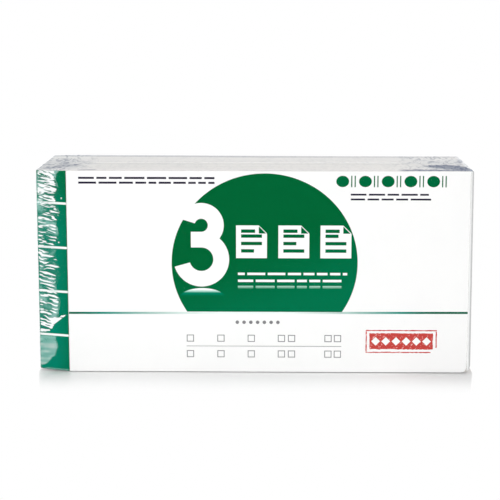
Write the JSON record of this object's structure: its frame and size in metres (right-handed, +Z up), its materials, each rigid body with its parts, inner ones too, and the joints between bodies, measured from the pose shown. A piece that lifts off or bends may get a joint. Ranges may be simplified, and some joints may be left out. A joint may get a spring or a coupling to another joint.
{
  "type": "triplicate receipt book pack",
  "caption": "Film-wrapped pack of long triplicate receipt books with card covers; the front book's cover and first leaves turn open behind a slit film flap.",
  "frame": {"origin": "under the middle of the pack, at the centre of the underside of its bounding box, on the surface that it stands on", "axes": "+X from the spines to the fore-edges, -Y out of the front book's cover, +Z up along the books' height"},
  "size_m": [0.1922, 0.0608, 0.0907],
  "materials": {
    "shrink_film": "gloss",
    "cover_card": "satin",
    "leaf_edges": "matte",
    "white_paper": "matte",
    "pink_paper": "matte",
    "yellow_paper": "matte",
    "staple_steel": "polished"
  },
  "bodies": {
    "wrapped_stack": {"film_wrap": "shrink_film", "book_01_cover_spine_and_back": "cover_card", "book_01_leaf_block": "leaf_edges", "book_01_staple_upper": "staple_steel", "book_01_staple_lower": "staple_steel", "book_02_cover": "cover_card", "book_02_leaf_block": "leaf_edges", "book_02_staple_upper": "staple_steel", "book_02_staple_lower": "staple_steel", "book_03_cover": "cover_card", "book_03_leaf_block": "leaf_edges", "book_03_staple_upper": "staple_steel", "book_03_staple_lower": "staple_steel", "book_04_cover": "cover_card", "book_04_leaf_block": "leaf_edges", "book_04_staple_upper": "staple_steel", "book_04_staple_lower": "staple_steel", "book_05_cover": "cover_card", "book_05_leaf_block": "leaf_edges", "book_05_staple_upper": "staple_steel", "book_05_staple_lower": "staple_steel", "book_06_cover": "cover_card", "book_06_leaf_block": "leaf_edges", "book_06_staple_upper": "staple_steel", "book_06_staple_lower": "staple_steel", "book_07_cover": "cover_card", "book_07_leaf_block": "leaf_edges", "book_07_staple_upper": "staple_steel", "book_07_staple_lower": "staple_steel", "book_08_cover": "cover_card", "book_08_leaf_block": "leaf_edges", "book_08_staple_upper": "staple_steel", "book_08_staple_lower": "staple_steel", "book_09_cover": "cover_card", "book_09_leaf_block": "leaf_edges", "book_09_staple_upper": "staple_steel", "book_09_staple_lower": "staple_steel", "book_10_cover": "cover_card", "book_10_leaf_block": "leaf_edges", "book_10_staple_upper": "staple_steel", "book_10_staple_lower": "staple_steel"},
    "front_cover": {"book_01_front_cover": "cover_card"},
    "film_flap": {"film_front_flap": "shrink_film"},
    "white_leaf": {"book_01_white_leaf": "white_paper"},
    "pink_leaf": {"book_01_pink_leaf": "pink_paper"},
    "yellow_leaf": {"book_01_yellow_leaf": "yellow_paper"}
  },
  "joints": [
    {"name": "front_cover_hinge", "type": "hinge", "parent": "wrapped_stack", "child": "front_cover", "pos_m": [-0.08255, -0.03037, 0.04515], "axis": [0, 0, -1], "range_deg": [0, 170]},
    {"name": "film_flap_fold", "type": "hinge", "parent": "wrapped_stack", "child": "film_flap", "pos_m": [-0.08255, -0.03037, 0.04515], "axis": [0, 0, -1], "range_deg": [0, 176]},
    {"name": "white_leaf_turn", "type": "hinge", "parent": "wrapped_stack", "child": "white_leaf", "pos_m": [-0.08255, -0.03037, 0.04515], "axis": [0, 0, -1], "range_deg": [0, 140]},
    {"name": "pink_leaf_turn", "type": "hinge", "parent": "wrapped_stack", "child": "pink_leaf", "pos_m": [-0.08255, -0.03037, 0.04515], "axis": [0, 0, -1], "range_deg": [0, 90]},
    {"name": "yellow_leaf_turn", "type": "hinge", "parent": "wrapped_stack", "child": "yellow_leaf", "pos_m": [-0.08255, -0.03037, 0.04515], "axis": [0, 0, -1], "range_deg": [0, 40]}
  ],
  "couplings": [
    {"joint": "film_flap_fold", "follows": "front_cover_hinge", "ratio": 1.03},
    {"joint": "white_leaf_turn", "follows": "front_cover_hinge", "ratio": 0.8},
    {"joint": "pink_leaf_turn", "follows": "front_cover_hinge", "ratio": 0.5},
    {"joint": "yellow_leaf_turn", "follows": "front_cover_hinge", "ratio": 0.2}
  ]
}
